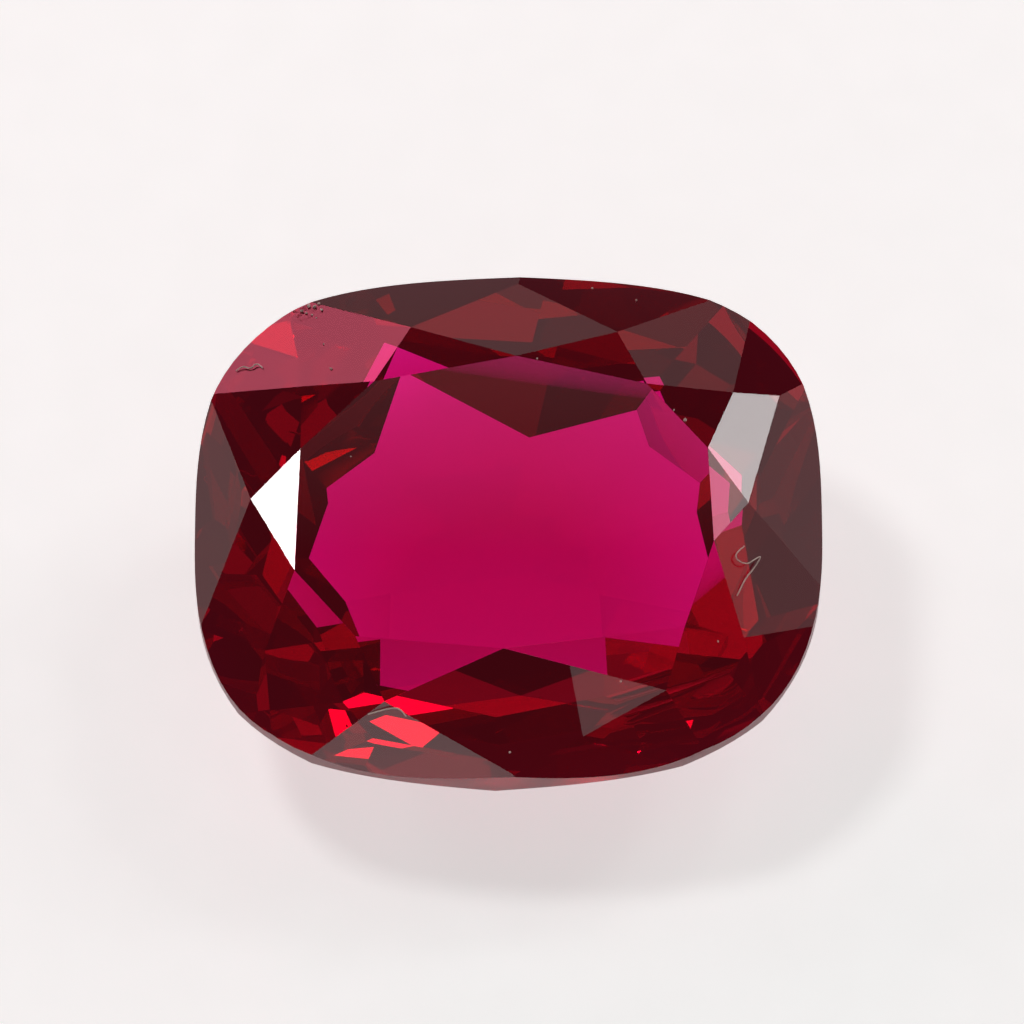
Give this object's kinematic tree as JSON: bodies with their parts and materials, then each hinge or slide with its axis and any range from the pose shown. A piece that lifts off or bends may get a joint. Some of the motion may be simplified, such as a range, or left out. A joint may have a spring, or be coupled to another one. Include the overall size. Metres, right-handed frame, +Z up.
{
  "type": "cushion-cut ruby gemstone",
  "caption": "Loose faceted cushion-cut ruby, clear deep red, lying on a pavilion facet with its table tilted to the front.",
  "frame": {"origin": "middle of the stone's footprint, on the surface that it lies on", "axes": "+X along the stone's length, +Z up, -Y the way the tilted table faces"},
  "size_m": [0.012, 0.0102, 0.0057],
  "materials": {
    "ruby": "polished"
  },
  "bodies": {
    "root": {"ruby": "ruby"}
  },
  "joints": []
}
